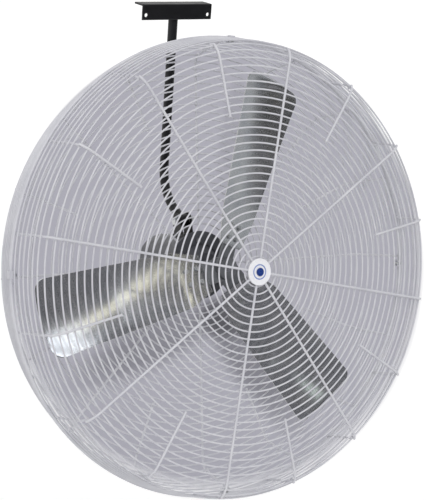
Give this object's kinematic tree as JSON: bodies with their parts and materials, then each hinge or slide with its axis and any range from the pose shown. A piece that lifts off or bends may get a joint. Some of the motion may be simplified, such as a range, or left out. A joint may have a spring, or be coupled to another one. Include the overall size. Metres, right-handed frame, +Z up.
{
  "type": "hanging air circulator fan",
  "caption": "Wire-guarded fan head on a bent tube arm. The head tilts, the arm swivels in a channel bracket that bolts to a beam, and the blades spin.",
  "frame": {"origin": "midway between the two bracket bolt holes, on the front face of the channel's web", "axes": "+X to the right seen from the front, +Y back into the beam along the bolts, +Z up"},
  "size_m": [1.046, 0.5884, 1.0583],
  "materials": {
    "arm_paint": "black semi-gloss powder coat",
    "bush_nylon": "natural nylon",
    "plated_steel": "zinc plated",
    "motor_paint": "dark grey enamel",
    "bearing_steel": "ground steel",
    "lamination_steel": "stacked laminations",
    "winding_copper": "varnished copper wire",
    "capacitor_case": "moulded case",
    "gland_plastic": "moulded nylon",
    "blade_aluminium": "mill finish sheet",
    "hub_casting": "sand cast, sprayed grey",
    "guard_coating": "light grey powder coat",
    "badge_white": "moulded, plain",
    "cap_blue": "moulded, plain"
  },
  "bodies": {
    "bracket": {"mount_channel": "arm_paint", "swivel_bush": "bush_nylon", "top_spigot": "arm_paint"},
    "arm": {"arm_tube": "arm_paint", "swivel_collar": "arm_paint", "collar_pin": "plated_steel", "tilt_barrel": "arm_paint"},
    "head": {"tilt_clevis": "arm_paint", "friction_washers": "bush_nylon", "flat_washers": "plated_steel", "tilt_bolt": "plated_steel", "tilt_nut": "plated_steel", "motor_tie_rods": "plated_steel", "cover_screws": "plated_steel", "guard_bolts": "plated_steel", "clip_screws": "plated_steel", "clip_nuts": "plated_steel", "motor_shell": "motor_paint", "front_end_bell": "motor_paint", "rear_end_bell": "motor_paint", "terminal_box": "motor_paint", "box_cover": "motor_paint", "rear_guard_plate": "motor_paint", "front_bearing": "bearing_steel", "rear_bearing": "bearing_steel", "stator_core": "lamination_steel", "stator_windings": "winding_copper", "run_capacitor": "capacitor_case", "cable_gland": "gland_plastic", "gland_lock_nut": "gland_plastic", "rear_inner_rings": "guard_coating", "rear_outer_rings": "guard_coating", "rear_side_rings": "guard_coating", "rear_rim": "guard_coating", "rear_spokes": "guard_coating", "rear_side_bars": "guard_coating", "guard_clips": "guard_coating", "front_inner_rings": "guard_coating", "front_outer_rings": "guard_coating", "front_side_rings": "guard_coating", "front_rim": "guard_coating", "front_spokes": "guard_coating", "front_side_bars": "guard_coating", "front_centre_plate": "guard_coating", "centre_badge": "badge_white", "badge_cap": "cap_blue"},
    "rotor": {"motor_shaft": "bearing_steel", "rotor_core": "lamination_steel", "fan_hub": "hub_casting", "hub_set_screws": "plated_steel", "blade_1": "blade_aluminium", "blade_2": "blade_aluminium", "blade_3": "blade_aluminium", "blade_bolts": "plated_steel", "blade_nuts": "plated_steel"}
  },
  "joints": [
    {"name": "swivel", "type": "hinge", "parent": "bracket", "child": "arm", "pos_m": [0, 0.019, 0], "axis": [0, 0, 1], "range_deg": [-90, 90]},
    {"name": "tilt", "type": "hinge", "parent": "arm", "child": "head", "pos_m": [0, -0.082, -0.477], "axis": [1, 0, 0], "range_deg": [-4, 47]},
    {"name": "spin", "type": "hinge", "parent": "head", "child": "rotor", "pos_m": [0, -0.28991, -0.52428], "axis": [0, -0.9563, 0.2924], "continuous": true}
  ]
}
